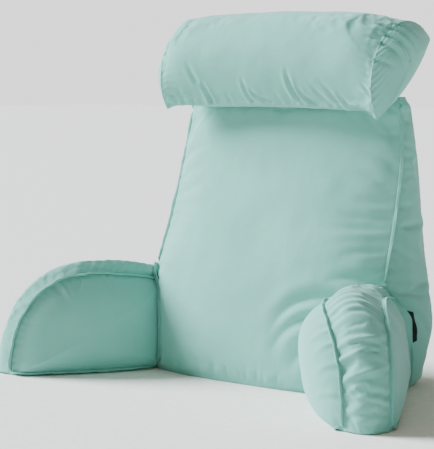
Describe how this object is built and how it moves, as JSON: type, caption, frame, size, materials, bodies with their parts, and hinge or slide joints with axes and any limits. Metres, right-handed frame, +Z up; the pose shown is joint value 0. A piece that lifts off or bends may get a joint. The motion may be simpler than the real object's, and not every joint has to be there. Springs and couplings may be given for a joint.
{
  "type": "backrest pillow with arms and a headrest bolster",
  "caption": "Filled wedge backrest pillow with D-shaped arms, a bolster headrest and raised outer seams, in brushed cotton.",
  "frame": {"origin": "middle of the bounding box on the floor, under the back cushion's lower front", "axes": "+Z up, the sitter faces -Y, +X at the right hand of a viewer who stands in front"},
  "size_m": [0.9198, 0.4802, 0.7034],
  "materials": {
    "cover_cloth": "brushed matt cotton in pale mint",
    "label_cloth": "black woven tape, blank"
  },
  "bodies": {
    "root": {"back_cushion": "cover_cloth", "arm_left": "cover_cloth", "arm_right": "cover_cloth", "headrest": "cover_cloth", "back_seam_left": "cover_cloth", "back_seam_right": "cover_cloth", "arm_left_seam_inner": "cover_cloth", "arm_left_seam_outer": "cover_cloth", "arm_left_seam_root": "cover_cloth", "arm_right_seam_inner": "cover_cloth", "arm_right_seam_outer": "cover_cloth", "arm_right_seam_root": "cover_cloth", "side_label": "label_cloth"}
  },
  "joints": []
}
